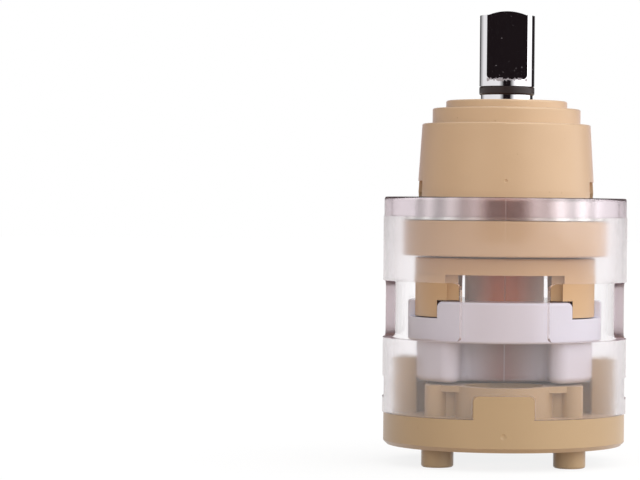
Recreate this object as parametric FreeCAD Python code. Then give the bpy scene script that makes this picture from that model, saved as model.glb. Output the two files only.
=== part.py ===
import FreeCAD, Part
import math
import os

# Single-lever mixer cartridge with ceramic discs, nominal 40 mm, all sizes in millimetres.
# The frame has its origin at the centre of the seat face under the base, with +Z up the
# spindle. The front, -Y, is the side with the outlet and the two locating pegs. The hot and
# cold inlets lie behind it, one each side of X = 0.

# Housing
body_d = 40.0
housing_wall = 1.6
lip_t = 3.17
lip_corner_r = 0.5
window_z = 17.4
window_h = 9.3
window_low_r = 0.9
window_top_r = 1.2
front_pillar_half_deg = 20.8
side_wall_y = 3.4
back_window_from_deg = 50.0
back_pillar_half_deg = 10.0
snap_window_z = 7.7
snap_window_h = 3.4
snap_half_deg = 11.3
grip_flat_half_deg = 8.7
grip_flat_depth = 0.2
stop_rib_half_deg = 4.0
stop_rib_t = 1.2

# Base
flange_h = 5.2
flange_chamfer = 0.7
base_h = 10.2
platform_t = 1.4
core_gap = 3.0
core_wall = 1.1
rim_notch_half_w = 3.83
rim_notch_depth = 2.38
key_half_w = 4.78
key_h = 3.74
key_corner_r = 0.9
key_clear = 0.12
lug_h = 9.0
lug_gap = 0.2
lug_t = 4.0
lug_half_deg = 13.0
lug_slot_w = 1.1
tab_reach = 1.55
pocket_rim = 2.1
pocket_depth = 4.0
front_pocket_top = 1.0
column_r = 1.75
column_proud = 0.9
front_land_y = 6.9
lug_gap_y = 0.5
gate_sphere_r = 0.9
gate_depth = 0.15

# Ports in the base
inlet_rim_w = 1.89
inlet_deg = 30.2
inlet_r = 5.29
inlet_straight = 3.4
spigot_wall = 0.9
inlet_land_r = 10.0
outlet_rim_w = 1.94
outlet_r = 6.27
outlet_wall = 1.5
outlet_rim_drop = 0.05

# Locating pegs
peg_x = 10.6
peg_y = 10.3
peg_r = 2.6
peg_drop = 3.03
peg_bore_r = 1.25
peg_tip_r = 0.4
peg_root_draft = 0.08

# Seals
groove_depth = 2.4
groove_w = 2.11
port_seal_w = 1.96
port_seal_proud = 0.45
web_low_y = 1.85
web_high_y = 8.1
disc_seal_r = 5.2
disc_port_r = 3.6
disc_seal_seat = 1.9
disc_seal_proud = 0.3
disc_seal_rim_w = 0.8

# Ceramic discs
fixed_disc_flat = 0.6
fixed_disc_t = 6.52
fixed_disc_round = 1.1
fixed_disc_side_r = 1.0
recess_half_w = 7.0
recess_y = 6.5
recess_corner_r = 2.0
recess_edge_r = 1.8
slot_half_w = 1.6
slot_half_deg = 15.0
disc_gap = 0.03
moving_disc_gap = 0.315
moving_disc_t = 6.53
moving_disc_round = 0.4
chamber_half_w = 10.3
chamber_front_y = 10.5
chamber_back_y = 4.4
chamber_depth = 3.2
chamber_corner_r = 3.0
notch_x = 10.85
notch_y = 3.2
notch_depth = 2.7
notch_edge_r = 0.9

# Driver
driver_inset = 0.2
driver_t = 2.7
driver_edge_r = 0.3
hub_h = 4.3
hub_r = 6.4
leg_inset = 0.86
leg_wall = 3.6
leg_from_x = 7.35
leg_from_y = 3.4
leg_gap = 0.2
leg_step_x = 9.3
leg_step_y = 10.5
finger_inset = 0.1
finger_gap = 0.15
finger_tip_r = 0.6
guide_half_w = 7.5
guide_half_l = 8.6
guide_h = 1.5
guide_corner_r = 1.5
socket_lead = 0.3
socket_floor_gap = 0.68

# Bell
bell_gap = 0.25
bell_flange_gap = 1.65
bell_flange_t = 5.8
bell_shoulder_w = 2.25
bell_draft = 0.7
bell_taper_from = 1.0
bell_body_h = 12.02
bell_step_w = 1.66
bell_step_h = 2.52
bell_cap_w = 2.2
bell_cap_h = 1.29
bell_edge_r = 0.3
bell_slot_depth = 0.9
bell_slot_front = 4.9
bell_slot_back = 1.7
bell_slot_rise = 2.65
stop_lug_half_deg = 7.0
stop_lug_reach = 1.15
stop_lug_h = 3.2
slip_ring_t = 0.5
slip_sleeve_t = 0.3
slip_sleeve_inset = 0.1
slip_gap = 0.05
gate_dimple_r = 0.3
gate_dimple_rise = 2.62

# Spindle
arm = 10.2
ball_r = 3.0
ball_drop = 0.675
shank_r = 2.3
neck_r = 4.25
neck_drop = 5.2
neck_chamfer = 0.3
spindle_ring_rise = 0.95
spindle_ring_t = 1.43
spindle_ring_r = 4.53
spindle_ring_edge_r = 0.3
ring_core_r = 3.8
ring_lead = 1.0
ring_clear = 0.4
bar_r = 4.5
bar_h = 11.59
crown_r = 3.5
crown_h = 0.8
flat_y = 3.04
flat_from = 1.06
flat_corner_r = 0.8
pin_r = 2.0
pin_inset = 0.3
pin_chamfer = 0.3

# Motion and clearances
tilt_deg = 12.5
turn_deg = 50.0
run_clear = 0.05
slot_clear = 0.1
swing_clear = 0.15
seat_clear = 0.05

# Sizes that follow from the ones above
body_r = body_d / 2
inner_r = body_r - housing_wall
pocket_r = body_r - pocket_rim
core_r = inner_r - core_gap
lug_r = inner_r - lug_gap
lug_flat_x = lug_r - lug_t

spigot_r = inlet_r + spigot_wall
groove_r = spigot_r + groove_w
port_seal_r = spigot_r + seat_clear + port_seal_w
inlet_way = math.radians(inlet_deg)
inlet_reach = body_r - inlet_rim_w - groove_r
inlet_x = inlet_reach * math.cos(inlet_way)
inlet_y = inlet_reach * math.sin(inlet_way)
web_half_w = inlet_x - (spigot_r + port_seal_r) / 2
outlet_outer_r = outlet_r + outlet_wall
outlet_y = body_r - outlet_rim_w - outlet_outer_r
corner_x = peg_x + column_r

tilt = math.radians(tilt_deg)
slide_travel = arm * tilt
swing_slope = math.tan(tilt)
neck_swing = neck_r / math.cos(tilt) + swing_clear

fixed_disc_r = lug_flat_x + fixed_disc_flat
disc_port_reach = fixed_disc_r - disc_seal_rim_w - disc_seal_r
disc_port_x = disc_port_reach * math.cos(inlet_way)
disc_port_y = disc_port_reach * math.sin(inlet_way)
moving_disc_r = inner_r - slide_travel - moving_disc_gap
leg_r = moving_disc_r - leg_inset
driver_r = leg_r - driver_inset
finger_outer_x = leg_r - finger_inset

bell_flange_r = inner_r - bell_flange_gap
bell_body_r = bell_flange_r - bell_shoulder_w
bell_top_r = bell_body_r - bell_draft
bell_step_r = bell_top_r - bell_step_w
bell_cap_r = bell_step_r - bell_cap_w
bell_slot_x = bell_body_r - bell_slot_depth
slip_bore_r = bell_body_r + slot_clear
slip_sleeve_r = slip_bore_r + slip_sleeve_t
lip_bore_r = slip_sleeve_r + seat_clear

# Heights of the stack, from the seat face up
fixed_disc_z = base_h + disc_seal_proud
moving_disc_z = fixed_disc_z + fixed_disc_t + disc_gap
disc_top_z = moving_disc_z + moving_disc_t
notch_floor_z = disc_top_z - notch_depth
driver_z = disc_top_z + hub_h
driver_top_z = driver_z + driver_t
bell_z = driver_top_z + bell_gap
bell_flange_top_z = bell_z + bell_flange_t
slip_ring_z = bell_flange_top_z + slip_gap
lip_z = slip_ring_z + slip_ring_t
housing_top_z = lip_z + lip_t
bell_body_top_z = housing_top_z + bell_body_h
bell_step_top_z = bell_body_top_z + bell_step_h
bell_top_z = bell_step_top_z + bell_cap_h
ball_z = driver_top_z - ball_drop
pivot_z = ball_z + arm
neck_low_z = pivot_z - neck_drop
spindle_ring_z = bell_top_z + spindle_ring_rise
bar_z = spindle_ring_z + spindle_ring_t
bar_top_z = bar_z + bar_h
channel_top_z = driver_top_z + guide_h + swing_clear

X_AXIS = FreeCAD.Vector(1, 0, 0)
Y_AXIS = FreeCAD.Vector(0, 1, 0)
Z_AXIS = FreeCAD.Vector(0, 0, 1)
ORIGIN = FreeCAD.Vector(0, 0, 0)
# How far a cutter runs past the face that it opens, and a joined piece into its neighbour.
PAST = 1.0
# Two lengths that differ by less than this count as equal when edges are picked.
SAME = 1e-4


def cylinder(r, z0, z1, x=0.0, y=0.0):
    return Part.makeCylinder(r, z1 - z0, FreeCAD.Vector(x, y, z0))


def ring(r_in, r_out, z0, z1, x=0.0, y=0.0):
    return cylinder(r_out, z0, z1, x, y).cut(cylinder(r_in, z0 - PAST, z1 + PAST, x, y))


def block(x0, x1, y0, y1, z0, z1):
    return Part.makeBox(x1 - x0, y1 - y0, z1 - z0, FreeCAD.Vector(x0, y0, z0))


def turned(profile, from_deg=0.0, to_deg=360.0):
    """Solid of revolution about Z from (radius, height) points."""
    points = [FreeCAD.Vector(r, 0, z) for r, z in profile]
    face = Part.Face(Part.makePolygon(points + points[:1]))
    solid = face.revolve(ORIGIN, Z_AXIS, to_deg - from_deg)
    solid.rotate(ORIGIN, Z_AXIS, from_deg)
    return solid


def sector(r_in, r_out, from_deg, to_deg, z0, z1):
    return turned([(r_in, z0), (r_out, z0), (r_out, z1), (r_in, z1)], from_deg, to_deg)


def across_x(shape):
    """The shape and its mirror image on the other side of X = 0."""
    return [shape, shape.mirror(ORIGIN, X_AXIS)]


def four_ways(shape):
    copies = across_x(shape)
    return copies + [copy.mirror(ORIGIN, Y_AXIS) for copy in copies]


def edges_at(shape, z):
    """Edges that lie wholly at one height."""
    found = []
    for edge in shape.Edges:
        box = edge.BoundBox
        if box.ZLength < SAME and abs(box.ZMin - z) < SAME:
            found.append(edge)
    return found


def straight_edges_at(shape, z):
    return [edge for edge in edges_at(shape, z) if isinstance(edge.Curve, Part.Line)]


def upright_edges(shape):
    found = []
    for edge in shape.Edges:
        box = edge.BoundBox
        if box.XLength < SAME and box.YLength < SAME:
            found.append(edge)
    return found


def rims_at(shape, z, r):
    """Edges at one height that reach out to one radius."""
    return [edge for edge in edges_at(shape, z) if abs(edge.BoundBox.XMax - r) < SAME]


def rounded_block(half_x, y0, y1, z0, z1, r):
    """Block about X = 0 with its four upright corners rounded."""
    solid = block(-half_x, half_x, y0, y1, z0, z1)
    return solid.makeFillet(r, upright_edges(solid))


def window_cutter(from_deg, to_deg, y_end=body_r):
    """Cutter for one window in the housing wall, with rounded corners, flat where y_end ends it."""
    top = window_z + window_h
    cutter = sector(inner_r - PAST, body_r + PAST, from_deg, to_deg, window_z, top)
    cutter = cutter.common(block(-body_r - PAST, body_r + PAST, -body_r - PAST, y_end, window_z, top))
    for z, corner_r in ((window_z, window_low_r), (top, window_top_r)):
        cutter = cutter.makeFillet(corner_r, straight_edges_at(cutter, z))
    return cutter


def key_block(clear):
    """Upright tab at the front that keys the housing to the base."""
    half_w = key_half_w + clear
    top = flange_h + key_h + clear
    tab = block(-half_w, half_w, -body_r - PAST, -inner_r + housing_wall, flange_h, top)
    corners = [edge for edge in edges_at(tab, top) if edge.BoundBox.XLength < SAME]
    return tab.makeFillet(key_corner_r, corners)


def make_housing():
    shell = turned([
        (inner_r, flange_h),
        (body_r, flange_h),
        (body_r, housing_top_z),
        (lip_bore_r, housing_top_z),
        (lip_bore_r, lip_z),
        (inner_r, lip_z),
    ])
    shell = shell.makeFillet(lip_corner_r, rims_at(shell, housing_top_z, body_r))
    front_start = -90 + front_pillar_half_deg
    back_end = 90 - back_pillar_half_deg
    for cutter in across_x(window_cutter(front_start, back_window_from_deg, side_wall_y)):
        shell = shell.cut(cutter)
    for cutter in across_x(window_cutter(back_window_from_deg, back_end)):
        shell = shell.cut(cutter)
    snap = sector(
        inner_r - PAST, body_r + PAST, -snap_half_deg, snap_half_deg,
        snap_window_z, snap_window_z + snap_window_h,
    )
    grip = sector(
        body_r - grip_flat_depth, body_r + PAST, -grip_flat_half_deg, grip_flat_half_deg,
        lip_z, housing_top_z + PAST,
    )
    for cutter in across_x(snap) + across_x(grip):
        shell = shell.cut(cutter)
    shell = shell.cut(key_block(key_clear))
    # Two ribs inside the upper ring stop the bell's lug at each end of its turn.
    stop_deg = 90 - turn_deg - stop_lug_half_deg - stop_rib_half_deg
    rib = sector(
        inner_r - stop_rib_t, inner_r + housing_wall / 2,
        stop_deg - stop_rib_half_deg, stop_deg + stop_rib_half_deg, bell_z, lip_z,
    )
    for piece in across_x(rib):
        shell = shell.fuse(piece)
    return shell.removeSplitter()


def seal_plan(r_out, r_in, y_low, y_high, z0, z1):
    """Figure-of-eight band round both inlets, joined by a web between them."""
    band = block(-web_half_w, web_half_w, y_low, y_high, z0, z1)
    for x in (-inlet_x, inlet_x):
        band = band.fuse(cylinder(r_out, z0, z1, x, inlet_y))
    for x in (-inlet_x, inlet_x):
        band = band.cut(cylinder(r_in, z0 - PAST, z1 + PAST, x, inlet_y))
    return band


def port_lands(z0, z1):
    """Solid walls round the three ports, which the underside pockets leave standing."""
    lands = [cylinder(inlet_land_r, z0, z1, x, inlet_y) for x in (-inlet_x, inlet_x)]
    lands.append(cylinder(outlet_outer_r, z0, z1, 0, -outlet_y))
    return lands


def underside_pockets():
    shallow = cylinder(pocket_r, -PAST, pocket_depth)
    side = block(
        body_r - rim_notch_depth - housing_wall, body_r,
        -rim_notch_half_w - pocket_rim, rim_notch_half_w + pocket_rim,
        -PAST, pocket_depth,
    )
    for land in across_x(side) + port_lands(-PAST, pocket_depth):
        shallow = shallow.cut(land)
    deep_top = base_h - platform_t
    deep = cylinder(core_r - core_wall, 0, deep_top)
    front = block(-body_r, body_r, -body_r, -front_land_y, 0, deep_top)
    sides = block(corner_x - core_wall, body_r, -body_r, core_wall - lug_gap_y, 0, deep_top)
    for land in [front] + across_x(sides) + port_lands(-PAST, deep_top + PAST):
        deep = deep.cut(land)
    return shallow.fuse(deep)


def inlet_passage():
    """Straight bore at the seat face that narrows and leans to the port under the disc."""
    low = Part.Wire(Part.makeCircle(inlet_r, FreeCAD.Vector(inlet_x, inlet_y, inlet_straight)))
    seat_z = base_h - disc_seal_seat
    high = Part.Wire(Part.makeCircle(disc_port_r, FreeCAD.Vector(disc_port_x, disc_port_y, seat_z)))
    passage = Part.makeLoft([low, high], True)
    passage = passage.fuse(cylinder(inlet_r, -PAST, inlet_straight, inlet_x, inlet_y))
    seat_r = disc_seal_r + seat_clear
    return passage.fuse(cylinder(seat_r, seat_z, base_h + PAST, disc_port_x, disc_port_y))


def snap_lug():
    """Side lug that centres the fixed disc and holds the housing by its tab."""
    lug = sector(lug_flat_x - PAST, lug_r, -lug_half_deg, lug_half_deg, flange_h, flange_h + lug_h)
    lug = lug.cut(block(0, lug_flat_x, -body_r, body_r, base_h, base_h + lug_h))
    lug = lug.cut(block(0, lug_flat_x, -body_r, -lug_gap_y, flange_h, base_h))
    slot_r = (lug_flat_x + lug_r) / 2
    slot = sector(
        slot_r, slot_r + lug_slot_w, -snap_half_deg, snap_half_deg,
        snap_window_z, flange_h + lug_h + PAST,
    )
    lug = lug.cut(slot)
    low_z = snap_window_z + seat_clear
    high_z = snap_window_z + snap_window_h - seat_clear
    root_r = (slot_r + lug_slot_w + lug_r) / 2
    side_gap_deg = math.degrees(seat_clear / lug_r)
    tab = turned([
        (root_r, low_z),
        (lug_r + tab_reach, low_z),
        (lug_r + tab_reach, (low_z + high_z) / 2),
        (lug_r, high_z),
        (root_r, high_z),
    ], side_gap_deg - snap_half_deg, snap_half_deg - side_gap_deg)
    return lug.fuse(tab)


def make_base():
    body = cylinder(body_r, 0, flange_h)
    body = body.makeChamfer(flange_chamfer, edges_at(body, 0))
    body = body.fuse(cylinder(core_r, flange_h, base_h))
    outlet_rim_z = base_h - outlet_rim_drop
    tube = cylinder(outlet_outer_r, pocket_depth, outlet_rim_z, 0, -outlet_y)
    column = cylinder(column_r, pocket_depth, base_h, peg_x, -peg_y)

    # The outlet tube and the peg columns stand a little proud of the front of the core.
    front = block(
        -corner_x, corner_x, -body_r, column_proud - peg_y - column_r,
        flange_h, base_h - front_pocket_top,
    )
    for keep in across_x(column) + [tube]:
        front = front.cut(keep)
    # A gap beside each column sets the front half of the snap lug free from the core.
    corner = block(corner_x, body_r, -body_r, -lug_gap_y, flange_h, base_h + PAST)
    for cutter in across_x(corner) + [front]:
        body = body.cut(cutter)
    key = key_block(0).common(cylinder(body_r, 0, base_h))
    key = key.cut(cylinder(outlet_outer_r - PAST, 0, base_h, 0, -outlet_y))
    for piece in across_x(column) + [tube, key] + across_x(snap_lug()):
        body = body.fuse(piece)

    body = body.cut(underside_pockets())
    # Each peg stands clear below the seat face and has a drafted root up in its pocket.
    peg = cylinder(peg_r, -peg_drop, 0, peg_x, -peg_y)
    peg = peg.makeFillet(peg_tip_r, edges_at(peg, -peg_drop))
    root = Part.makeCone(
        peg_r, peg_r + peg_root_draft, pocket_depth, FreeCAD.Vector(peg_x, -peg_y, 0)
    )
    for piece in across_x(peg) + across_x(root):
        body = body.fuse(piece)
    peg_bore = cylinder(peg_bore_r, -peg_drop - PAST, pocket_depth, peg_x, -peg_y)
    rim_notch = block(
        body_r - rim_notch_depth, body_r + PAST, -rim_notch_half_w, rim_notch_half_w,
        -PAST, flange_h,
    )
    groove = seal_plan(
        groove_r, spigot_r, web_low_y - seat_clear, web_high_y + seat_clear,
        -PAST, groove_depth,
    )
    outlet = cylinder(outlet_r, -PAST, base_h + PAST, 0, -outlet_y)
    gate_place = FreeCAD.Vector(0, gate_depth - gate_sphere_r - body_r, flange_h / 2)
    gate = Part.makeSphere(gate_sphere_r, gate_place)
    cutters = across_x(peg_bore) + across_x(rim_notch) + across_x(inlet_passage())
    for cutter in cutters + [groove, outlet, gate]:
        body = body.cut(cutter)
    return body.removeSplitter()


def make_port_seal():
    band = seal_plan(
        port_seal_r, spigot_r + seat_clear, web_low_y, web_high_y,
        -port_seal_proud, groove_depth,
    )
    return band.removeSplitter()


def make_disc_seal(side):
    seat_z = base_h - disc_seal_seat
    return ring(disc_port_r, disc_seal_r, seat_z, fixed_disc_z, side * disc_port_x, disc_port_y)


def inlet_slot(z0, z1):
    """Curved port slot on the right, its rounded ends on the same arc."""
    low = inlet_deg - slot_half_deg
    high = inlet_deg + slot_half_deg
    slot = sector(disc_port_reach - slot_half_w, disc_port_reach + slot_half_w, low, high, z0, z1)
    for deg in (low, high):
        x = disc_port_reach * math.cos(math.radians(deg))
        y = disc_port_reach * math.sin(math.radians(deg))
        slot = slot.fuse(cylinder(slot_half_w, z0, z1, x, y))
    return slot


def make_fixed_disc():
    top = fixed_disc_z + fixed_disc_t
    disc = cylinder(fixed_disc_r, fixed_disc_z, top)
    flat_x = lug_flat_x - slot_clear
    disc = disc.common(block(-flat_x, flat_x, -body_r, body_r, 0, top))
    disc = disc.makeFillet(fixed_disc_side_r, upright_edges(disc))
    recess = rounded_block(recess_half_w, -body_r, -recess_y, 0, top + PAST, recess_corner_r)
    disc = disc.cut(recess)
    corner_y_limit = -recess_y - recess_corner_r - SAME
    mouth = [edge for edge in upright_edges(disc) if edge.BoundBox.YMax < corner_y_limit]
    disc = disc.makeFillet(recess_edge_r, mouth)
    disc = disc.makeFillet(fixed_disc_round, edges_at(disc, fixed_disc_z))
    for slot in across_x(inlet_slot(0, top + PAST)):
        disc = disc.cut(slot)
    return disc


def leg_notch():
    return block(notch_x, body_r, -body_r, -notch_y, notch_floor_z, disc_top_z + PAST)


def make_moving_disc():
    disc = cylinder(moving_disc_r, moving_disc_z, disc_top_z)
    for notch in four_ways(leg_notch()):
        disc = disc.cut(notch)
    disc = disc.makeFillet(notch_edge_r, [
        edge for edge in straight_edges_at(disc, disc_top_z) if edge.BoundBox.XLength < SAME
    ])
    arcs = edges_at(disc, disc_top_z) + edges_at(disc, moving_disc_z)
    arcs = [edge for edge in arcs if isinstance(edge.Curve, Part.Circle)]
    disc = disc.makeFillet(moving_disc_round, arcs)
    chamber = rounded_block(
        chamber_half_w, -chamber_front_y, chamber_back_y,
        moving_disc_z - PAST, moving_disc_z + chamber_depth, chamber_corner_r,
    )
    return disc.cut(chamber)


def driver_leg():
    """One corner leg: a shoulder over the disc and a finger down into its notch."""
    wall = ring(leg_r - leg_wall, leg_r, notch_floor_z, driver_top_z)
    shoulder = block(leg_from_x, leg_r, -leg_r, -leg_from_y, disc_top_z + leg_gap, driver_z)
    finger = block(
        notch_x + run_clear, finger_outer_x, -leg_r, -leg_from_y,
        notch_floor_z + finger_gap, driver_z,
    )
    tip = edges_at(finger, notch_floor_z + finger_gap)
    outer = [edge for edge in tip if abs(edge.BoundBox.XMin - finger_outer_x) < SAME]
    finger = finger.makeFillet(finger_tip_r, outer)
    step = block(0, leg_step_x, -leg_r - PAST, -leg_step_y, disc_top_z, driver_z)
    return wall.common(shoulder.fuse(finger)).cut(step)


def make_driver():
    plate = cylinder(driver_r, driver_z, driver_top_z)
    plate = plate.makeFillet(driver_edge_r, edges_at(plate, driver_top_z))
    body = plate.fuse(cylinder(hub_r, disc_top_z, driver_z))
    for leg in four_ways(driver_leg()):
        body = body.fuse(leg)
    guide = rounded_block(
        guide_half_w, -guide_half_l, guide_half_l,
        driver_z, driver_top_z + guide_h, guide_corner_r,
    )
    body = body.fuse(guide)
    socket_r = ball_r + run_clear
    mouth_z = driver_top_z + guide_h
    mouth = Part.makeCone(
        socket_r, socket_r + socket_lead, socket_lead,
        FreeCAD.Vector(0, 0, mouth_z - socket_lead),
    )
    socket = cylinder(socket_r, ball_z - ball_r - socket_floor_gap, mouth_z + PAST)
    return body.cut(socket).cut(mouth).removeSplitter()


def swing_cutter():
    """Hourglass slot in the Y-Z plane, as wide as the neck, that the spindle swings in."""
    lead_z = bell_top_z - ring_lead
    low_z = neck_low_z - swing_clear
    lead_half = neck_swing + (lead_z - pivot_z) * swing_slope
    low_half = neck_swing + (pivot_z - low_z) * swing_slope
    ring_rise = spindle_ring_z - pivot_z
    ring_reach = ring_rise * math.sin(tilt) + spindle_ring_r * math.cos(tilt)
    mouth_half = ring_reach + ring_clear
    half_x = neck_r + slot_clear
    outline = [
        (mouth_half, bell_top_z + PAST), (mouth_half, bell_top_z), (lead_half, lead_z),
        (neck_swing, pivot_z), (low_half, low_z), (low_half, bell_z - PAST),
    ]
    left = [(-y, z) for y, z in reversed(outline)]
    points = [FreeCAD.Vector(-half_x, y, z) for y, z in outline + left]
    face = Part.Face(Part.makePolygon(points + points[:1]))
    return face.extrude(FreeCAD.Vector(2 * half_x, 0, 0))


def make_bell():
    bell = turned([
        (0, bell_z),
        (bell_flange_r, bell_z),
        (bell_flange_r, bell_flange_top_z),
        (bell_body_r, bell_flange_top_z),
        (bell_body_r, housing_top_z + bell_taper_from),
        (bell_top_r, bell_body_top_z),
        (bell_step_r, bell_body_top_z),
        (bell_step_r, bell_step_top_z),
        (bell_cap_r, bell_step_top_z),
        (bell_cap_r, bell_top_z),
        (0, bell_top_z),
    ])
    rims = []
    for z, r in (
        (bell_top_z, bell_cap_r),
        (bell_step_top_z, bell_step_r),
        (bell_body_top_z, bell_top_r),
        (bell_flange_top_z, bell_flange_r),
        (bell_z, bell_flange_r),
    ):
        rims += rims_at(bell, z, r)
    bell = bell.makeFillet(bell_edge_r, rims)
    lug = sector(
        bell_flange_r - PAST, bell_flange_r + stop_lug_reach,
        90 - stop_lug_half_deg, 90 + stop_lug_half_deg,
        bell_z + bell_edge_r, bell_z + bell_edge_r + stop_lug_h,
    )
    bell = bell.fuse(lug)
    pin_slot = block(
        bell_slot_x, bell_body_r + PAST, -bell_slot_front, bell_slot_back,
        bell_flange_top_z, housing_top_z + bell_slot_rise,
    )
    channel = rounded_block(
        guide_half_w + run_clear, -guide_half_l - slide_travel - swing_clear,
        guide_half_l + slide_travel + swing_clear, bell_z - PAST, channel_top_z,
        guide_corner_r,
    )
    pin_bore = Part.makeCylinder(pin_r, 2 * body_r, FreeCAD.Vector(-body_r, 0, pivot_z), X_AXIS)
    dimple = Part.makeSphere(
        gate_dimple_r, FreeCAD.Vector(0, -bell_body_r, housing_top_z + gate_dimple_rise)
    )
    for cutter in across_x(pin_slot) + [channel, pin_bore, dimple, swing_cutter()]:
        bell = bell.cut(cutter)
    return bell.removeSplitter()


def make_slip_ring():
    """Flanged steel sleeve that lines the lip's bore and lies between the lip and the bell's flange."""
    sleeve_top_z = housing_top_z - slip_sleeve_inset
    return turned([
        (slip_bore_r, slip_ring_z),
        (bell_flange_r, slip_ring_z),
        (bell_flange_r, lip_z),
        (slip_sleeve_r, lip_z),
        (slip_sleeve_r, sleeve_top_z),
        (slip_bore_r, sleeve_top_z),
    ])


def make_spindle():
    neck = cylinder(neck_r, neck_low_z, spindle_ring_z)
    neck = neck.makeChamfer(neck_chamfer, edges_at(neck, neck_low_z))
    spindle = neck.fuse(Part.makeSphere(ball_r, FreeCAD.Vector(0, 0, ball_z)))
    spindle = spindle.fuse(cylinder(shank_r, ball_z, neck_low_z + PAST))
    spindle = spindle.fuse(cylinder(ring_core_r, spindle_ring_z - PAST, bar_z + PAST))
    bar = cylinder(bar_r, bar_z, bar_top_z)
    crown_sphere_r = (crown_r ** 2 + crown_h ** 2) / (2 * crown_h)
    crown = Part.makeSphere(crown_sphere_r, FreeCAD.Vector(0, 0, bar_top_z + crown_h - crown_sphere_r))
    bar = bar.fuse(crown.common(cylinder(bar_r, bar_top_z - PAST, bar_top_z + crown_h + PAST)))
    # The flats run out at the foot of the bar with rounded corners.
    flat_half_w = math.sqrt(bar_r ** 2 - flat_y ** 2)
    low_z = bar_z + flat_from
    flat = block(-flat_half_w, flat_half_w, flat_y, body_r, low_z, bar_top_z + crown_h + PAST)
    sides = [edge for edge in edges_at(flat, low_z) if edge.BoundBox.XLength < SAME]
    flat = flat.makeFillet(flat_corner_r, sides)
    bar = bar.cut(flat).cut(flat.mirror(ORIGIN, Y_AXIS))
    spindle = spindle.fuse(bar)
    eye = Part.makeCylinder(
        pin_r + run_clear, 2 * body_r, FreeCAD.Vector(-body_r, 0, pivot_z), X_AXIS
    )
    return spindle.cut(eye).removeSplitter()


def make_spindle_pin():
    half = bell_slot_x - pin_inset
    pin = Part.makeCylinder(pin_r, 2 * half, FreeCAD.Vector(-half, 0, pivot_z), X_AXIS)
    ends = [edge for edge in pin.Edges if edge.BoundBox.XLength < SAME]
    return pin.makeChamfer(pin_chamfer, ends)


def make_spindle_ring():
    band = ring(ring_core_r, spindle_ring_r, spindle_ring_z, bar_z)
    rims = rims_at(band, spindle_ring_z, spindle_ring_r) + rims_at(band, bar_z, spindle_ring_r)
    return band.makeFillet(spindle_ring_edge_r, rims)


def main():
    parts = {
        "housing": make_housing(),
        "base": make_base(),
        "port_seal": make_port_seal(),
        "hot_disc_seal": make_disc_seal(-1),
        "cold_disc_seal": make_disc_seal(1),
        "fixed_disc": make_fixed_disc(),
        "moving_disc": make_moving_disc(),
        "driver": make_driver(),
        "bell": make_bell(),
        "slip_ring": make_slip_ring(),
        "spindle": make_spindle(),
        "spindle_pin": make_spindle_pin(),
        "spindle_ring": make_spindle_ring(),
    }
    os.makedirs("parts", exist_ok=True)
    for name, shape in parts.items():
        shape.exportStep(os.path.join("parts", name + ".step"))
        print(name, len(shape.Solids), "solid", round(shape.Volume, 1), "mm3", shape.isValid())
    print("pivot height", round(pivot_z, 3), "slide travel", round(slide_travel, 3))


main()
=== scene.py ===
# %% [markdown]
# Ceramic disc tap cartridge
# A mixer tap has one lever, and this cartridge is what the lever moves. Two white ceramic
# discs slide over each other inside a clear housing and let hot and cold water through.
# The CAD model already has every piece in its place. This file gives each piece the finish
# of its real material, and adds the light, the floor and the camera.

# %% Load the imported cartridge
import math

import bpy
from mathutils import Matrix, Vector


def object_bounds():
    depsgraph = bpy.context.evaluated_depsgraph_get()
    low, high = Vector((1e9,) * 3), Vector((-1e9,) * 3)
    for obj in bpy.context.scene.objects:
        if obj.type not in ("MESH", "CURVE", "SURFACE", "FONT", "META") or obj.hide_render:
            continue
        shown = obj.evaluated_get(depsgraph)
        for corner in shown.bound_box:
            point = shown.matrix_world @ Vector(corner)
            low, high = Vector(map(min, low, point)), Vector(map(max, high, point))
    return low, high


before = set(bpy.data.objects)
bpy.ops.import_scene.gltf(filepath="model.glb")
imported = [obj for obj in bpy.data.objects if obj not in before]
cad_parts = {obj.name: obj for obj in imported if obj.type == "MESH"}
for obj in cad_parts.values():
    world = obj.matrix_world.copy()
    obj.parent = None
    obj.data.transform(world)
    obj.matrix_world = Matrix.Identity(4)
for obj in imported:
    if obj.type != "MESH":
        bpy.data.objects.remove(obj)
cad_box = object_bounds()
print("nodes:", ", ".join(sorted(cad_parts)))
print("CAD box in mm:", [[round(1000 * v, 2) for v in corner] for corner in cad_box])

# %% [markdown]
# Colours are easiest to read as the hex values of a picture program, but Blender's shaders
# count light, not picture values. One function turns a hex value into linear light.

# %% Colour helper
def linear(hex_colour):
    """Linear red, green, blue and alpha of an sRGB hex colour."""
    shares = [int(hex_colour[i:i + 2], 16) / 255 for i in (1, 3, 5)]
    light = [s / 12.92 if s <= 0.04045 else ((s + 0.055) / 1.055) ** 2.4 for s in shares]
    return (*light, 1.0)


print("mid grey in linear light:", [round(v, 3) for v in linear("#808080")[:3]])

# %% [markdown]
# A material is a tree of nodes. Made one by one, nodes fill a script with repeated lines,
# so one small function adds a node, sets it and links it. A node that is given as an input
# stands for its first output. A colour mix takes its two colours at inputs 6 and 7 and
# gives its result at output 2, and a mix of plain numbers takes them at inputs 2 and 3.

# %% Node helper
def add(tree, kind, inputs=(), **settings):
    """Adds a node of this kind, with its settings, and its inputs set or linked."""
    node = tree.nodes.new(kind)
    for name, value in settings.items():
        setattr(node, name, value)
    for socket, value in dict(inputs).items():
        if isinstance(value, bpy.types.Node):
            value = value.outputs[0]
        if isinstance(value, bpy.types.NodeSocket):
            tree.links.new(value, node.inputs[socket])
        else:
            node.inputs[socket].default_value = value
    return node


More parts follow.
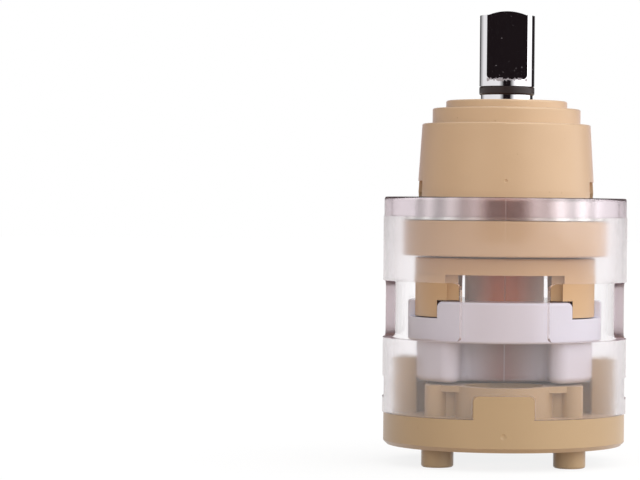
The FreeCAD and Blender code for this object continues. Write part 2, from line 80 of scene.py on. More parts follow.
def new_finish(name, shader_inputs):
    """A material with one Principled shader. Returns it, its tree, shader and coordinates."""
    material = bpy.data.materials.new(name)
    material.use_nodes = True
    tree = material.node_tree
    tree.nodes.clear()
    shader = add(tree, "ShaderNodeBsdfPrincipled", shader_inputs)
    add(tree, "ShaderNodeOutputMaterial", {"Surface": shader})
    place = add(tree, "ShaderNodeTexCoord")
    return material, tree, shader, place


def per_mm(size):
    """Texture scale for a pattern whose features are this many millimetres apart."""
    return 1000.0 / size


MM = 0.001
print("scale of a 2 mm pattern:", per_mm(2.0))

# %% [markdown]
# The tan pieces are injection moulded from a glass filled engineering plastic. Its colour
# is even, but melt that flows round the core leaves broad, faint tone changes, and the
# eroded mould steel gives a satin skin. Broad noise mixes two near tones, fine noise drives
# the bump, and a few small specks are burnt resin. The real erosion grain is about 0.05 mm,
# too fine to show at this distance, so it is drawn at 0.3 mm. A sheen pales the sides, most
# of all on the bell. The base and the driver take darker tones than the bell, as painted
# shade for the lower pieces, which get less light. The hub of the driver has a brown painted
# shade in its middle and a pale painted highlight towards its sides.

# %% Tan moulded plastic
TAN_FLOW_MM = 9.0
TAN_GRAIN_MM = 0.3
TAN_GRAIN_DEPTH_MM = 0.006
TAN_SMOOTHEST = 0.28
TAN_ROUGHEST = 0.35
SPECK_SPACING_MM = 2.6
SPECK_CORE = 0.03
SPECK_EDGE = 0.05
SPECK_STRENGTH = 0.45
HUB_MM = 6.6
BROWN_TO_MM = 1.8
PALE_FROM_MM = 7.0
HUB_ROUGHNESS = 0.5


def tan(name, pale, dark, sheen, hub=None):
    """Glass filled plastic of two near tones. Its hub may take a painted shade and a painted
    highlight.
    """
    material, tree, shader, place = new_finish(name, {
        "IOR": 1.6, "Sheen Weight": sheen, "Sheen Roughness": 0.35,
        "Sheen Tint": linear("#F6E9F2")})
    flow = add(tree, "ShaderNodeTexNoise", {
        "Vector": place.outputs["Object"], "Scale": per_mm(TAN_FLOW_MM), "Detail": 2.0})
    tone = add(tree, "ShaderNodeMix", {
        "Factor": flow, 6: linear(pale), 7: linear(dark)}, data_type="RGBA")
    specks = add(tree, "ShaderNodeTexVoronoi", {
        "Vector": place.outputs["Object"], "Scale": per_mm(SPECK_SPACING_MM)})
    speck_here = add(tree, "ShaderNodeMapRange", {
        "Value": specks.outputs["Distance"], "From Min": SPECK_CORE, "From Max": SPECK_EDGE,
        "To Min": SPECK_STRENGTH, "To Max": 0.0})
    colour = add(tree, "ShaderNodeMix", {
        "Factor": speck_here, 6: tone.outputs[2], 7: linear("#9A7450")}, data_type="RGBA")
    shine = add(tree, "ShaderNodeMapRange", {
        "Value": flow, "To Min": TAN_SMOOTHEST, "To Max": TAN_ROUGHEST})
    # On the hub: brown painted shade in the middle, pale painted highlight towards the sides.
    if hub:
        brown, white = hub
        flat = add(tree, "ShaderNodeVectorMath", {
            0: place.outputs["Object"], 1: (1.0, 1.0, 0.0)}, operation="MULTIPLY")
        off_axis = add(tree, "ShaderNodeVectorMath", {0: flat}, operation="LENGTH")
        painted_tone_here = add(tree, "ShaderNodeMath", {
            0: off_axis.outputs["Value"], 1: HUB_MM * MM}, operation="LESS_THAN")
        split = add(tree, "ShaderNodeSeparateXYZ", {"Vector": place.outputs["Object"]})
        off_middle = add(tree, "ShaderNodeMath", {0: split.outputs["X"]}, operation="ABSOLUTE")
        to_side = add(tree, "ShaderNodeMapRange", {
            "Value": off_middle, "From Min": BROWN_TO_MM * MM, "From Max": PALE_FROM_MM * MM})
        painted_tone = add(tree, "ShaderNodeMix", {
            "Factor": to_side, 6: linear(brown), 7: linear(white)}, data_type="RGBA")
        colour = add(tree, "ShaderNodeMix", {
            "Factor": painted_tone_here, 6: colour.outputs[2], 7: painted_tone.outputs[2]}, data_type="RGBA")
        shine = add(tree, "ShaderNodeMapRange", {
            "Value": painted_tone_here, "To Min": shine, "To Max": HUB_ROUGHNESS})
    grain = add(tree, "ShaderNodeTexNoise", {
        "Vector": place.outputs["Object"], "Scale": per_mm(TAN_GRAIN_MM), "Detail": 1.0})
    bump = add(tree, "ShaderNodeBump", {"Height": grain, "Distance": TAN_GRAIN_DEPTH_MM * MM})
    tree.links.new(colour.outputs[2], shader.inputs["Base Color"])
    tree.links.new(shine.outputs[0], shader.inputs["Roughness"])
    tree.links.new(bump.outputs[0], shader.inputs["Normal"])
    return material


tan_bell = tan("glass_filled_plastic_moulded", "#D3B592", "#CBAC89", 0.75)
# The base and the driver take darker tones than the bell, as painted shade for the lower
# pieces, which get less light.
tan_base = tan("glass_filled_plastic_darker_for_shade", "#BDA27C", "#B59A75", 0.2)
tan_driver = tan("glass_filled_plastic_painted_hub", "#CFAB80", "#C7A378", 0.15,
                 ("#CC6420", "#FFEEE6"))
print("tan plastics:", tan_bell.name, tan_base.name, tan_driver.name)

# %% [markdown]
# The housing is polycarbonate, moulded in a polished mould. It bends light strongly, and
# thick places look a little lavender because the plastic takes some light away. That is
# absorption, so it belongs in the volume and grows with the path through the wall. A small
# bump stands for the flow waves, and a fine ridge marks where the two mould halves met.
# The sides are hazier than the middle, and the posts beside the windows are haziest, where
# the slides of the mould rubbed along them. Light on its way to another piece passes the
# wall straight, because light that the wall bends takes far more samples to settle.

# %% Clear moulded polycarbonate
CLEAR_WAVE_MM = 7.0
CLEAR_WAVE_DEPTH_MM = 0.012
PARTING_HALF_MM = 0.1
PARTING_HEIGHT_MM = 0.03
CLEAR_ABSORPTION = 60.0
CLEAREST = 0.02
HAZIEST = 0.05
CLEAR_MIDDLE_MM = 11.0
HAZY_SIDE_MM = 15.5
SIDE_HAZE = 0.10
POSTS_FROM_MM = 17.6
POST_EDGE_MM = 1.0
WINDOW_MIDDLE_MM = 22.0
WINDOW_HALF_MM = 4.5
POST_HAZE = 0.24

clear_plastic, tree, shader, place = new_finish("polycarbonate_clear_moulded", {
    "Base Color": linear("#FFFFFF"), "Transmission Weight": 1.0, "IOR": 1.585,
    "Sheen Weight": 0.3, "Sheen Roughness": 0.35, "Sheen Tint": linear("#F3DFEA")})
split = add(tree, "ShaderNodeSeparateXYZ", {"Vector": place.outputs["Object"]})
off_middle = add(tree, "ShaderNodeMath", {0: split.outputs["X"]}, operation="ABSOLUTE")
ridge = add(tree, "ShaderNodeMapRange", {
    "Value": off_middle, "From Min": 0.0, "From Max": PARTING_HALF_MM * MM,
    "To Min": 1.0, "To Max": 0.0}, interpolation_type="SMOOTHSTEP")
waves = add(tree, "ShaderNodeTexNoise", {
    "Vector": place.outputs["Object"], "Scale": per_mm(CLEAR_WAVE_MM), "Detail": 1.0})
wave_bump = add(tree, "ShaderNodeBump", {
    "Height": waves, "Distance": CLEAR_WAVE_DEPTH_MM * MM})
ridge_bump = add(tree, "ShaderNodeBump", {
    "Height": ridge, "Distance": PARTING_HEIGHT_MM * MM, "Normal": wave_bump})
haze = add(tree, "ShaderNodeMapRange", {
    "Value": waves, "To Min": CLEAREST, "To Max": HAZIEST})
side_haze = add(tree, "ShaderNodeMapRange", {
    "Value": off_middle, "From Min": CLEAR_MIDDLE_MM * MM, "From Max": HAZY_SIDE_MM * MM,
    "To Min": 0.0, "To Max": SIDE_HAZE})
haze = add(tree, "ShaderNodeMath", {0: haze, 1: side_haze}, operation="ADD")
at_side = add(tree, "ShaderNodeMapRange", {
    "Value": off_middle, "From Min": POSTS_FROM_MM * MM,
    "From Max": (POSTS_FROM_MM + POST_EDGE_MM) * MM})
off_window = add(tree, "ShaderNodeMath", {
    0: split.outputs["Z"], 1: WINDOW_MIDDLE_MM * MM}, operation="SUBTRACT")
off_window = add(tree, "ShaderNodeMath", {0: off_window}, operation="ABSOLUTE")
beside_window = add(tree, "ShaderNodeMath", {
    0: off_window, 1: WINDOW_HALF_MM * MM}, operation="LESS_THAN")
on_post = add(tree, "ShaderNodeMath", {0: at_side, 1: beside_window}, operation="MULTIPLY")
haze = add(tree, "ShaderNodeMath", {
    0: on_post, 1: POST_HAZE, 2: haze}, operation="MULTIPLY_ADD")
tree.links.new(haze.outputs[0], shader.inputs["Roughness"])
tree.links.new(ridge_bump.outputs[0], shader.inputs["Normal"])
absorption = add(tree, "ShaderNodeVolumeAbsorption", {
    "Color": linear("#E2CAD6"), "Density": CLEAR_ABSORPTION})
light_path = add(tree, "ShaderNodeLightPath")
light_passes = add(tree, "ShaderNodeMath", {
    0: light_path.outputs["Is Shadow Ray"],
    1: light_path.outputs["Is Diffuse Ray"]}, operation="MAXIMUM")
open_to_light = add(tree, "ShaderNodeBsdfTransparent", {"Color": linear("#FAF8F5")})
wall = add(tree, "ShaderNodeMixShader", {0: light_passes, 1: shader, 2: open_to_light})
output = next(n for n in tree.nodes if n.type == "OUTPUT_MATERIAL")
tree.links.new(wall.outputs[0], output.inputs["Surface"])
tree.links.new(absorption.outputs[0], output.inputs["Volume"])
print("clear plastic:", len(tree.nodes), "nodes")

# %% [markdown]
# Alumina ceramic is pressed, fired white and ground. Its sides keep a fine matt grain, and
# the faces that seal are lapped until they shine. The shader tells them apart by which way
# the surface faces, because only the lapped faces look up or down. The lower disc gets a
# brown painted shade for its shaded recess, strongest in its middle.

# %% Fired alumina
CERAMIC_GRAIN_MM = 0.35
CERAMIC_GRAIN_DEPTH_MM = 0.004
CERAMIC_CLOUD_MM = 5.0
GROUND_ROUGHNESS = 0.42
LAPPED_ROUGHNESS = 0.14
RECESS_HALF_MM = 7.0


def alumina(name, shade_tone=None):
    """Fired ceramic with matt sides. A painted shade of this tone may darken its middle."""
    material, tree, shader, place = new_finish(name, {
        "IOR": 1.76, "Subsurface Weight": 0.1, "Subsurface Radius": (1.0, 0.9, 0.9),
        "Subsurface Scale": 0.6 * MM})
    cloud = add(tree, "ShaderNodeTexNoise", {
        "Vector": place.outputs["Object"], "Scale": per_mm(CERAMIC_CLOUD_MM), "Detail": 3.0})
    colour = add(tree, "ShaderNodeMix", {
        "Factor": cloud, 6: linear("#DADAEA"), 7: linear("#D3D2E3")}, data_type="RGBA")
    # A brown painted shade, strongest in the middle of the disc and gone 7 mm to each side.
    if shade_tone:
        where = add(tree, "ShaderNodeSeparateXYZ", {"Vector": place.outputs["Object"]})
        off_middle = add(tree, "ShaderNodeMath", {0: where.outputs["X"]}, operation="ABSOLUTE")
        painted_tone = add(tree, "ShaderNodeMapRange", {
            "Value": off_middle, "From Min": 0.0, "From Max": RECESS_HALF_MM * MM,
            "To Min": 1.0, "To Max": 0.0}, interpolation_type="SMOOTHSTEP")
        colour = add(tree, "ShaderNodeMix", {
            "Factor": painted_tone, 6: colour.outputs[2], 7: linear(shade_tone)}, data_type="RGBA")
    facing = add(tree, "ShaderNodeSeparateXYZ", {"Vector": place.outputs["Normal"]})
    up_or_down = add(tree, "ShaderNodeMath", {0: facing.outputs["Z"]}, operation="ABSOLUTE")
    lapped = add(tree, "ShaderNodeMapRange", {
        "Value": up_or_down, "From Min": 0.9, "From Max": 0.99,
        "To Min": GROUND_ROUGHNESS, "To Max": LAPPED_ROUGHNESS})
    grain = add(tree, "ShaderNodeTexNoise", {
        "Vector": place.outputs["Object"], "Scale": per_mm(CERAMIC_GRAIN_MM), "Detail": 1.0})
    bump = add(tree, "ShaderNodeBump", {
        "Height": grain, "Distance": CERAMIC_GRAIN_DEPTH_MM * MM})
    tree.links.new(colour.outputs[2], shader.inputs["Base Color"])
    tree.links.new(lapped.outputs[0], shader.inputs["Roughness"])
    tree.links.new(bump.outputs[0], shader.inputs["Normal"])
    return material


alumina_clean = alumina("alumina_fired_lapped")
# The lower disc takes a brown painted shade in its middle.
alumina_shaded_middle = alumina("alumina_painted_recess_shade", "#A77E7A")
print("alumina:", alumina_clean.name, alumina_shaded_middle.name)

# %% [markdown]
# The spindle is brass, polished and then plated with nickel and chrome. A mirror shows the
# room and not itself, so most of its look comes from the dark cards of the studio. The
# finish only adds what a used sample has: slight polishing waves, specks that are densest
# at the foot of each flat, and a scuffed line where the flat runs out.

# %% Chrome plated brass
CHROME_WAVE_MM = 2.2
CHROME_WAVE_DEPTH_MM = 0.0012
CHROME_ROUGHNESS = 0.035
WORN_ROUGHNESS = 0.75
FLAT_FOOT_MM = 59.62
FLAT_HALF_MM = 3.3
DUST_SPACING_MM = 0.30
DUSTY_HEIGHT_MM = 5.0
DUST_AT_TOP = 0.96
DUST_AT_FOOT = 0.66
LARGEST_SPECK = 0.22
SCUFF_WIDTH_MM = 0.34
SCUFF_GRAIN_MM = 0.5
SCUFF_STARTS = 0.36
SCUFF_FULL = 0.58

chrome, tree, shader, place = new_finish("chrome_plated_brass", {"Metallic": 1.0})
waves = add(tree, "ShaderNodeTexNoise", {
    "Vector": place.outputs["Object"], "Scale": per_mm(CHROME_WAVE_MM), "Detail": 1.0})
bump = add(tree, "ShaderNodeBump", {"Height": waves, "Distance": CHROME_WAVE_DEPTH_MM * MM})
where = add(tree, "ShaderNodeSeparateXYZ", {"Vector": place.outputs["Object"]})
foot_near = add(tree, "ShaderNodeMapRange", {
    "Value": where.outputs["Z"], "From Min": FLAT_FOOT_MM * MM,
    "From Max": (FLAT_FOOT_MM + DUSTY_HEIGHT_MM) * MM, "To Min": 1.0, "To Max": 0.0})
dust = add(tree, "ShaderNodeTexVoronoi", {
    "Vector": place.outputs["Object"], "Scale": per_mm(DUST_SPACING_MM)})
dust_size = add(tree, "ShaderNodeSeparateColor", {"Color": dust.outputs["Color"]})
dust_from = add(tree, "ShaderNodeMapRange", {
    "Value": foot_near, "To Min": DUST_AT_TOP, "To Max": DUST_AT_FOOT})
dust_limit = add(tree, "ShaderNodeMapRange", {
    "Value": dust_size, "From Min": dust_from, "From Max": 1.0,
    "To Min": 0.0, "To Max": LARGEST_SPECK})
dust_here = add(tree, "ShaderNodeMath", {
    0: dust.outputs["Distance"], 1: dust_limit}, operation="LESS_THAN")
ragged = add(tree, "ShaderNodeTexNoise", {
    "Vector": place.outputs["Object"], "Scale": per_mm(SCUFF_GRAIN_MM), "Detail": 3.0})
off_foot = add(tree, "ShaderNodeMath", {
    0: where.outputs["Z"], 1: FLAT_FOOT_MM * MM}, operation="SUBTRACT")
off_foot = add(tree, "ShaderNodeMath", {0: off_foot}, operation="ABSOLUTE")
scuff_reach = add(tree, "ShaderNodeMapRange", {
    "Value": ragged, "From Min": SCUFF_STARTS, "From Max": SCUFF_FULL,
    "To Min": 0.0, "To Max": SCUFF_WIDTH_MM * MM})
on_line = add(tree, "ShaderNodeMath", {0: off_foot, 1: scuff_reach}, operation="LESS_THAN")
off_middle = add(tree, "ShaderNodeMath", {0: where.outputs["X"]}, operation="ABSOLUTE")
on_flat = add(tree, "ShaderNodeMath", {
    0: off_middle, 1: FLAT_HALF_MM * MM}, operation="LESS_THAN")
scuffed = add(tree, "ShaderNodeMath", {0: on_line, 1: on_flat}, operation="MULTIPLY")
worn = add(tree, "ShaderNodeMath", {0: dust_here, 1: scuffed}, operation="MAXIMUM")
colour = add(tree, "ShaderNodeMix", {
    "Factor": worn, 6: linear("#FAF8FB"), 7: linear("#C9C3C6")}, data_type="RGBA")
polish = add(tree, "ShaderNodeMapRange", {
    "Value": worn, "To Min": CHROME_ROUGHNESS, "To Max": WORN_ROUGHNESS})
tree.links.new(colour.outputs[2], shader.inputs["Base Color"])
tree.links.new(polish.outputs[0], shader.inputs["Roughness"])
tree.links.new(bump.outputs[0], shader.inputs["Normal"])
print("chrome:", len(tree.nodes), "nodes")

# %% [markdown]
# The seals are rubber. The blue one is silicone, which lets a little light in. The others
# are black nitrile with a faint grey bloom. The ring at the foot of the spindle is nitrile
# too, dark brown and a little shiny.

# %% Silicone and rubbers
RUBBER_GRAIN_MM = 0.4
RUBBER_GRAIN_DEPTH_MM = 0.01


def rubber(name, dark, pale, bloom_mm, shader_inputs, smoothest, roughest):
    """Moulded rubber: two near tones in clouds of bloom_mm, over a fine grain."""
    material, tree, shader, place = new_finish(name, shader_inputs)
    bloom = add(tree, "ShaderNodeTexNoise", {
        "Vector": place.outputs["Object"], "Scale": per_mm(bloom_mm), "Detail": 3.0})
    colour = add(tree, "ShaderNodeMix", {
        "Factor": bloom, 6: linear(dark), 7: linear(pale)}, data_type="RGBA")
    shine = add(tree, "ShaderNodeMapRange", {
        "Value": bloom, "To Min": smoothest, "To Max": roughest})
    grain = add(tree, "ShaderNodeTexNoise", {
        "Vector": place.outputs["Object"], "Scale": per_mm(RUBBER_GRAIN_MM), "Detail": 1.0})
    bump = add(tree, "ShaderNodeBump", {
        "Height": grain, "Distance": RUBBER_GRAIN_DEPTH_MM * MM})
    tree.links.new(colour.outputs[2], shader.inputs["Base Color"])
    tree.links.new(shine.outputs[0], shader.inputs["Roughness"])
    tree.links.new(bump.outputs[0], shader.inputs["Normal"])
    return material


blue_silicone = rubber("silicone_blue_moulded", "#3F83AC", "#5296BC", 3.0, {
    "IOR": 1.41, "Subsurface Weight": 0.3, "Subsurface Radius": (0.4, 0.8, 1.0),
    "Subsurface Scale": 0.7 * MM}, 0.34, 0.46)
black_nitrile = rubber(
    "nitrile_black_moulded", "#211E1D", "#34302F", 2.0, {"IOR": 1.52}, 0.5, 0.7)
# Dark brown nitrile, a little shiny, for the ring at the foot of the spindle.
dark_brown_nitrile = rubber(
    "nitrile_dark_brown", "#20130F", "#332221", 2.5, {"IOR": 1.45}, 0.28, 0.42)
print("rubbers:", blue_silicone.name, black_nitrile.name, dark_brown_nitrile.name)

# %% [markdown]
# Two pieces are stainless steel. The sleeve that lines the lip is bright steel. Painted
# reflection stripes lie at even angles round it: a cosine of the angle draws them, from
# darker to lighter steel. A brown painted shade lies over its front and back, and it hides
# the stripes where it is strongest. The cross pin is ground, and its grinding marks run round
# it.

# %% Stainless steel
STRIPES_ROUND = 23
PAINTED_SHADE_FADES_MM = 9.5
GRINDING_MM = 0.25
GRINDING_STRETCH = (1.0, 0.02, 0.02)

bright_steel, tree, shader, place = new_finish("stainless_steel_bright", {
    "Metallic": 1.0, "Roughness": 0.2})
split = add(tree, "ShaderNodeSeparateXYZ", {"Vector": place.outputs["Object"]})
forward = add(tree, "ShaderNodeMath", {0: split.outputs["Y"], 1: -1.0}, operation="MULTIPLY")
around = add(tree, "ShaderNodeMath", {0: split.outputs["X"], 1: forward}, operation="ARCTAN2")
# Painted reflection stripes, at even angles round the sleeve.
steps = add(tree, "ShaderNodeMath", {0: around, 1: STRIPES_ROUND}, operation="MULTIPLY")
wave = add(tree, "ShaderNodeMath", {0: steps}, operation="COSINE")
stripe = add(tree, "ShaderNodeMapRange", {"Value": wave, "From Min": -1.0, "From Max": 1.0})
steel = add(tree, "ShaderNodeMix", {
    "Factor": stripe, 6: linear("#C4C0BE"), 7: linear("#F6F4F2")}, data_type="RGBA")
# A brown painted shade over the front and back of the sleeve, strongest in the middle.
off_middle = add(tree, "ShaderNodeMath", {0: split.outputs["X"]}, operation="ABSOLUTE")
painted_tone_here = add(tree, "ShaderNodeMapRange", {
    "Value": off_middle, "From Min": 0.0, "From Max": PAINTED_SHADE_FADES_MM * MM,
    "To Min": 1.0, "To Max": 0.0})
colour = add(tree, "ShaderNodeMix", {
    "Factor": painted_tone_here, 6: steel.outputs[2], 7: linear("#B48C7C")}, data_type="RGBA")
tree.links.new(colour.outputs[2], shader.inputs["Base Color"])

ground_steel, tree, shader, place = new_finish("stainless_steel_ground", {"Metallic": 1.0})
stretched = add(tree, "ShaderNodeMapping", {
    "Vector": place.outputs["Object"], "Scale": GRINDING_STRETCH})
marks = add(tree, "ShaderNodeTexNoise", {
    "Vector": stretched, "Scale": per_mm(GRINDING_MM), "Detail": 2.0})
colour = add(tree, "ShaderNodeMix", {
    "Factor": marks, 6: linear("#BDBAB7"), 7: linear("#A5A29F")}, data_type="RGBA")
ground = add(tree, "ShaderNodeMapRange", {"Value": marks, "To Min": 0.22, "To Max": 0.38})
tree.links.new(colour.outputs[2], shader.inputs["Base Color"])
tree.links.new(ground.outputs[0], shader.inputs["Roughness"])
print("steels:", bright_steel.name, ground_steel.name)

# %% [markdown]
# Each CAD node keeps its mesh and gets its finish by changing the material in its slot.

# %% Dress the nodes
FINISH = {
    "housing": clear_plastic,
    "base": tan_base,
    "driver": tan_driver,
    "bell": tan_bell,
    "fixed_disc": alumina_shaded_middle,
    "moving_disc": alumina_clean,
    "spindle": chrome,
    "spindle_ring": dark_brown_nitrile,
    "spindle_pin": ground_steel,
    "slip_ring": bright_steel,
    "port_seal": blue_silicone,
    "hot_disc_seal": black_nitrile,
    "cold_disc_seal": black_nitrile,
}
for name, finish in FINISH.items():
    for material_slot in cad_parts[name].material_slots:
        material_slot.material = finish
print("dressed:", len(FINISH), "of", len(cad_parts))

# %% [markdown]
# The floor is a plain white table at the feet of the two pegs. For the camera it is mostly
# white of strength 1, so that it meets the background, and the rest is a real white surface
# that keeps the shadow. The light that it throws back up at the cartridge is a little warm.
# Seen from below it is clear, so that the underside can be looked at.

# %% Floor
FLOOR_HALF = 3.0
FLOOR_KEEPS_SHADOW = 0.15

floor_z = cad_box[0].z
corners = [(sx * FLOOR_HALF, sy * FLOOR_HALF, floor_z)
           for sx, sy in ((-1, -1), (1, -1), (1, 1), (-1, 1))]
floor_mesh = bpy.data.meshes.new("floor")
floor_mesh.from_pydata(corners, [], [(0, 1, 2, 3)])
floor = bpy.data.objects.new("floor", floor_mesh)
bpy.context.scene.collection.objects.link(floor)

white_table = bpy.data.materials.new("white_table")
white_table.use_nodes = True
tree = white_table.node_tree
tree.nodes.clear()
light_path = add(tree, "ShaderNodeLightPath")
seen_direct = add(tree, "ShaderNodeMath", {
    0: light_path.outputs["Is Camera Ray"],
    1: light_path.outputs["Is Glossy Ray"]}, operation="MAXIMUM")
seen = add(tree, "ShaderNodeMath", {
    0: seen_direct, 1: light_path.outputs["Is Transmission Ray"]}, operation="MAXIMUM")
glow_share = add(tree, "ShaderNodeMath", {
    0: seen, 1: 1.0 - FLOOR_KEEPS_SHADOW}, operation="MULTIPLY")
paper_colour = add(tree, "ShaderNodeMix", {
    "Factor": seen, 6: linear("#C8AE96"), 7: linear("#FFFFFF")}, data_type="RGBA")
paper = add(tree, "ShaderNodeBsdfDiffuse", {"Color": paper_colour.outputs[2]})
glow = add(tree, "ShaderNodeEmission", {"Color": linear("#FFFFFF"), "Strength": 1.0})
table_top = add(tree, "ShaderNodeMixShader", {0: glow_share, 1: paper, 2: glow})
clear_below = add(tree, "ShaderNodeBsdfTransparent")
side = add(tree, "ShaderNodeNewGeometry")
both = add(tree, "ShaderNodeMixShader", {
    0: side.outputs["Backfacing"], 1: table_top, 2: clear_below})
add(tree, "ShaderNodeOutputMaterial", {"Surface": both})
floor_mesh.materials.append(white_table)
print("floor at z in mm:", round(1000 * floor_z, 2))

# %% [markdown]
# The studio is a white tent, brighter on the right, in front and at the top, and the world
# gives its light. Camera and glass rays see it as plain white. Mirror rays see the inside
# of a real tent: a soft box on the right and dark gaps, which are the opening behind the
# camera and the edges behind the cartridge. The gaps draw the black flat and the dark lines
# on the plated spindle, and the soft box its bright side. Rays that were mirrored behind
# the clear wall see only the opening, rays that never left the wall see no gap, and rays
# that were mirrored more than once see plain white.

# %% World
TENT_LEVEL = 0.96
TENT_TO_RIGHT = 0.93
TENT_TO_FRONT = 0.38
TENT_TO_TOP = 0.25
DARK_CARDS = [
    # azimuth from the camera's side, half width and soft edge in degrees, lowest and
    # highest slope; the first card is the opening behind the camera
    (0.0, 23.0, 9.0, -0.30, 0.45),
    (142.0, 15.5, 3.0, 0.04, 2.0),
    (-173.0, 37.0, 20.0, 0.04, 2.0),
    (180.0, 60.0, 2.0, 0.13, 0.80),
]
CARD_LOWER_EDGE = 0.05
CARD_UPPER_EDGE = 0.15
CROSSINGS_TO_INSIDE = 3.5
MIRROR_LEVEL = 0.88
MIRROR_TO_RIGHT = 0.08
SOFTBOX_LEVEL = 0.9
SOFTBOX_AZIMUTH_DEG = 82.0
SOFTBOX_CORE_DEG = 16.0
SOFTBOX_FADE_DEG = 58.0

world = bpy.data.worlds.new("white_tent")
bpy.context.scene.world = world
world.use_nodes = True
tree = world.node_tree
tree.nodes.clear()
direction = add(tree, "ShaderNodeTexCoord").outputs["Generated"]
split = add(tree, "ShaderNodeSeparateXYZ", {"Vector": direction})
side_light = add(tree, "ShaderNodeMath", {
    0: split.outputs["X"], 1: TENT_TO_RIGHT, 2: TENT_LEVEL}, operation="MULTIPLY_ADD")
front_light = add(tree, "ShaderNodeMath", {
    0: split.outputs["Y"], 1: -TENT_TO_FRONT, 2: side_light}, operation="MULTIPLY_ADD")
top_light = add(tree, "ShaderNodeMath", {
    0: split.outputs["Z"], 1: TENT_TO_TOP, 2: front_light}, operation="MULTIPLY_ADD")
tent_light = add(tree, "ShaderNodeMath", {0: top_light, 1: 0.0}, operation="MAXIMUM")

# A card is drawn by how bright the tent is around it: 0 on the card and 1 outside it.
forward = add(tree, "ShaderNodeMath", {0: split.outputs["Y"], 1: -1.0}, operation="MULTIPLY")
azimuth = add(tree, "ShaderNodeMath", {0: split.outputs["X"], 1: forward}, operation="ARCTAN2")
brightness = []
for middle, half, soft_deg, low, high in DARK_CARDS:
    soft = math.radians(soft_deg)
    away = add(tree, "ShaderNodeMath", {
        0: azimuth, 1: math.radians(middle)}, operation="SUBTRACT")
    away = add(tree, "ShaderNodeMath", {0: away, 1: -math.pi, 2: math.pi}, operation="WRAP")
    away = add(tree, "ShaderNodeMath", {0: away}, operation="ABSOLUTE")
    beside = add(tree, "ShaderNodeMapRange", {
        "Value": away, "From Min": math.radians(half) - soft,
        "From Max": math.radians(half) + soft})
    below = add(tree, "ShaderNodeMapRange", {
        "Value": split.outputs["Z"], "From Min": low, "From Max": low - CARD_LOWER_EDGE})
    above = add(tree, "ShaderNodeMapRange", {
        "Value": split.outputs["Z"], "From Min": high, "From Max": high + CARD_UPPER_EDGE})
    outside = add(tree, "ShaderNodeMath", {0: below, 1: above}, operation="MAXIMUM")
    outside = add(tree, "ShaderNodeMath", {0: outside, 1: beside}, operation="MAXIMUM")
    if brightness:
        outside = add(tree, "ShaderNodeMath", {
            0: brightness[-1], 1: outside}, operation="MULTIPLY")
    brightness.append(outside)
opening, all_cards = brightness[0], brightness[-1]

light_path = add(tree, "ShaderNodeLightPath")
behind_clear = add(tree, "ShaderNodeMath", {
    0: light_path.outputs["Transmission Depth"], 1: 0.5}, operation="GREATER_THAN")
within_wall = add(tree, "ShaderNodeMath", {
    0: light_path.outputs["Transmission Depth"],
    1: CROSSINGS_TO_INSIDE}, operation="LESS_THAN")
front_card = add(tree, "ShaderNodeMath", {0: opening, 1: within_wall}, operation="MAXIMUM")
cards = add(tree, "ShaderNodeMix", {"Factor": behind_clear, 2: all_cards, 3: front_card})

mirror_side = add(tree, "ShaderNodeMath", {
    0: split.outputs["X"], 1: MIRROR_TO_RIGHT, 2: MIRROR_LEVEL}, operation="MULTIPLY_ADD")
off_box = add(tree, "ShaderNodeMath", {
    0: azimuth, 1: math.radians(SOFTBOX_AZIMUTH_DEG)}, operation="SUBTRACT")
off_box = add(tree, "ShaderNodeMath", {0: off_box}, operation="ABSOLUTE")
softbox = add(tree, "ShaderNodeMapRange", {
    "Value": off_box, "From Min": math.radians(SOFTBOX_CORE_DEG),
    "From Max": math.radians(SOFTBOX_FADE_DEG),
    "To Min": SOFTBOX_LEVEL, "To Max": 0.0}, interpolation_type="SMOOTHSTEP")
mirror_side = add(tree, "ShaderNodeMath", {0: mirror_side, 1: softbox}, operation="ADD")
mirror_light = add(tree, "ShaderNodeCombineColor", {
    0: mirror_side, 1: mirror_side, 2: mirror_side})
tent_inside = add(tree, "ShaderNodeMix", {
    "Factor": cards, 6: linear("#1A1416"), 7: mirror_light}, data_type="RGBA")
mirrored_once = add(tree, "ShaderNodeMath", {
    0: light_path.outputs["Glossy Depth"], 1: 1.0, 2: 0.5}, operation="COMPARE")
seen_colour = add(tree, "ShaderNodeMix", {
    "Factor": mirrored_once, 6: linear("#FFFFFF"), 7: tent_inside.outputs[2]},
    data_type="RGBA")

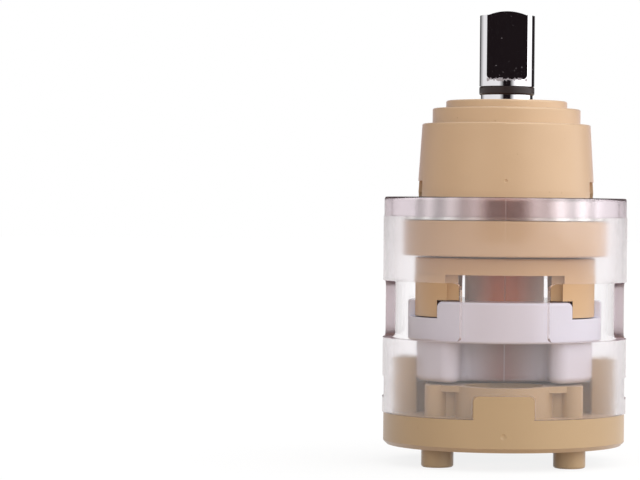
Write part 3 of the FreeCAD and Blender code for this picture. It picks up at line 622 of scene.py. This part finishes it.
seen = add(tree, "ShaderNodeMath", {
    0: light_path.outputs["Is Camera Ray"],
    1: light_path.outputs["Is Glossy Ray"]}, operation="MAXIMUM")
seen = add(tree, "ShaderNodeMath", {
    0: seen, 1: light_path.outputs["Is Transmission Ray"]}, operation="MAXIMUM")
no_scatter = add(tree, "ShaderNodeMath", {
    0: light_path.outputs["Diffuse Depth"], 1: 0.5}, operation="LESS_THAN")
seen = add(tree, "ShaderNodeMath", {0: seen, 1: no_scatter}, operation="MULTIPLY")
lights = add(tree, "ShaderNodeBackground", {
    "Color": linear("#FFFFFF"), "Strength": tent_light})
shows = add(tree, "ShaderNodeBackground", {
    "Color": seen_colour.outputs[2], "Strength": 1.0})
tent = add(tree, "ShaderNodeMixShader", {0: seen, 1: lights, 2: shows})
add(tree, "ShaderNodeOutputWorld", {"Surface": tent})
print("world nodes:", len(tree.nodes))

# %% [markdown]
# The photograph was taken from the front with a long lens, from a little above the middle
# of the cartridge. Its horizon and the widths of its ellipses give the distance. The
# ellipses lie level, so the camera looked straight at the object, and the picture was cut
# out with the object right of its middle: that is the shift. The camera was held a little
# askew.

# %% Camera
SENSOR_MM = 36.0
PICTURE_W = 640
FOCAL_PX = 2800.0
CAMERA_DISTANCE = 0.460
CAMERA_Z = 0.0386
PITCH_DEG = 0.647
ROLL_DEG = 0.56
OBJECT_RIGHT_PX = 185.4

camera_data = bpy.data.cameras.new("camera")
camera_data.sensor_width = SENSOR_MM
camera_data.lens = SENSOR_MM * FOCAL_PX / PICTURE_W
camera_data.shift_x = -OBJECT_RIGHT_PX / PICTURE_W
camera_data.clip_start = 0.05
camera = bpy.data.objects.new("camera", camera_data)
bpy.context.scene.collection.objects.link(camera)
stand = Matrix.Translation((0.0, -CAMERA_DISTANCE, CAMERA_Z))
tilt = Matrix.Rotation(math.radians(90.0 - PITCH_DEG), 4, "X")
lean = Matrix.Rotation(math.radians(ROLL_DEG), 4, "Z")
camera.matrix_world = stand @ tilt @ lean
bpy.context.scene.camera = camera
print("lens in mm:", round(camera_data.lens, 1))

# %% [markdown]
# Standard shows colours as they are written.

# %% Finish
bpy.context.scene.view_settings.view_transform = "Standard"
